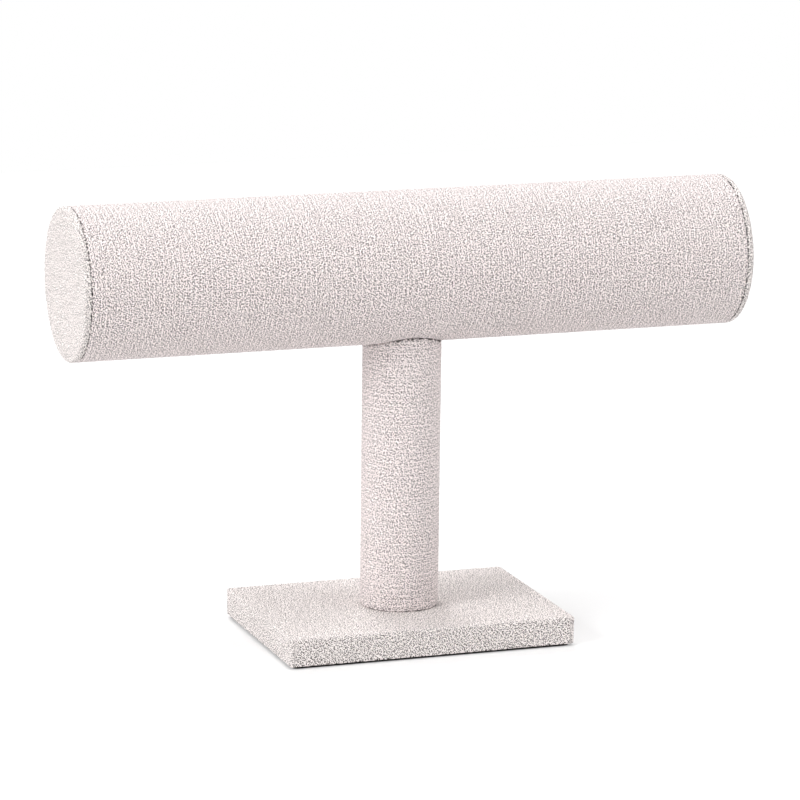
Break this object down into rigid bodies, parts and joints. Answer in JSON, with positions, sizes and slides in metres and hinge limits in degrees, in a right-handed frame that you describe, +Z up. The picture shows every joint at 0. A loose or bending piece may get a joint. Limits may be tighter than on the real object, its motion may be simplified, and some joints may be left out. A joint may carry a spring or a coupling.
{
  "type": "bracelet display stand",
  "caption": "Cloth-covered bracelet display stand: a round horizontal bar on an upright round post over a rectangular base.",
  "frame": {"origin": "centre of the base's underside, on the table under the post's axis", "axes": "+X along the bar, +Y from the front to the back with the bar's seam, +Z up"},
  "size_m": [0.3, 0.0904, 0.1947],
  "materials": {
    "cloth": "napped, finely ribbed, pinkish off-white",
    "underside_felt": "dark felt",
    "board": "raw fibreboard",
    "dowel": "sanded hardwood",
    "paperboard": "raw paperboard",
    "steel": "zinc-plated"
  },
  "bodies": {
    "root": {"base_board": "board", "base_cover": "cloth", "base_liner": "underside_felt", "base_screws": "steel", "post_core": "dowel", "post_cover": "cloth", "bar_tube": "paperboard", "bar_cover": "cloth", "bar_block": "dowel", "bar_screw": "steel", "left_end_plug": "board", "left_end_card": "paperboard", "left_end_cover": "cloth", "right_end_plug": "board", "right_end_card": "paperboard", "right_end_cover": "cloth"}
  },
  "joints": []
}
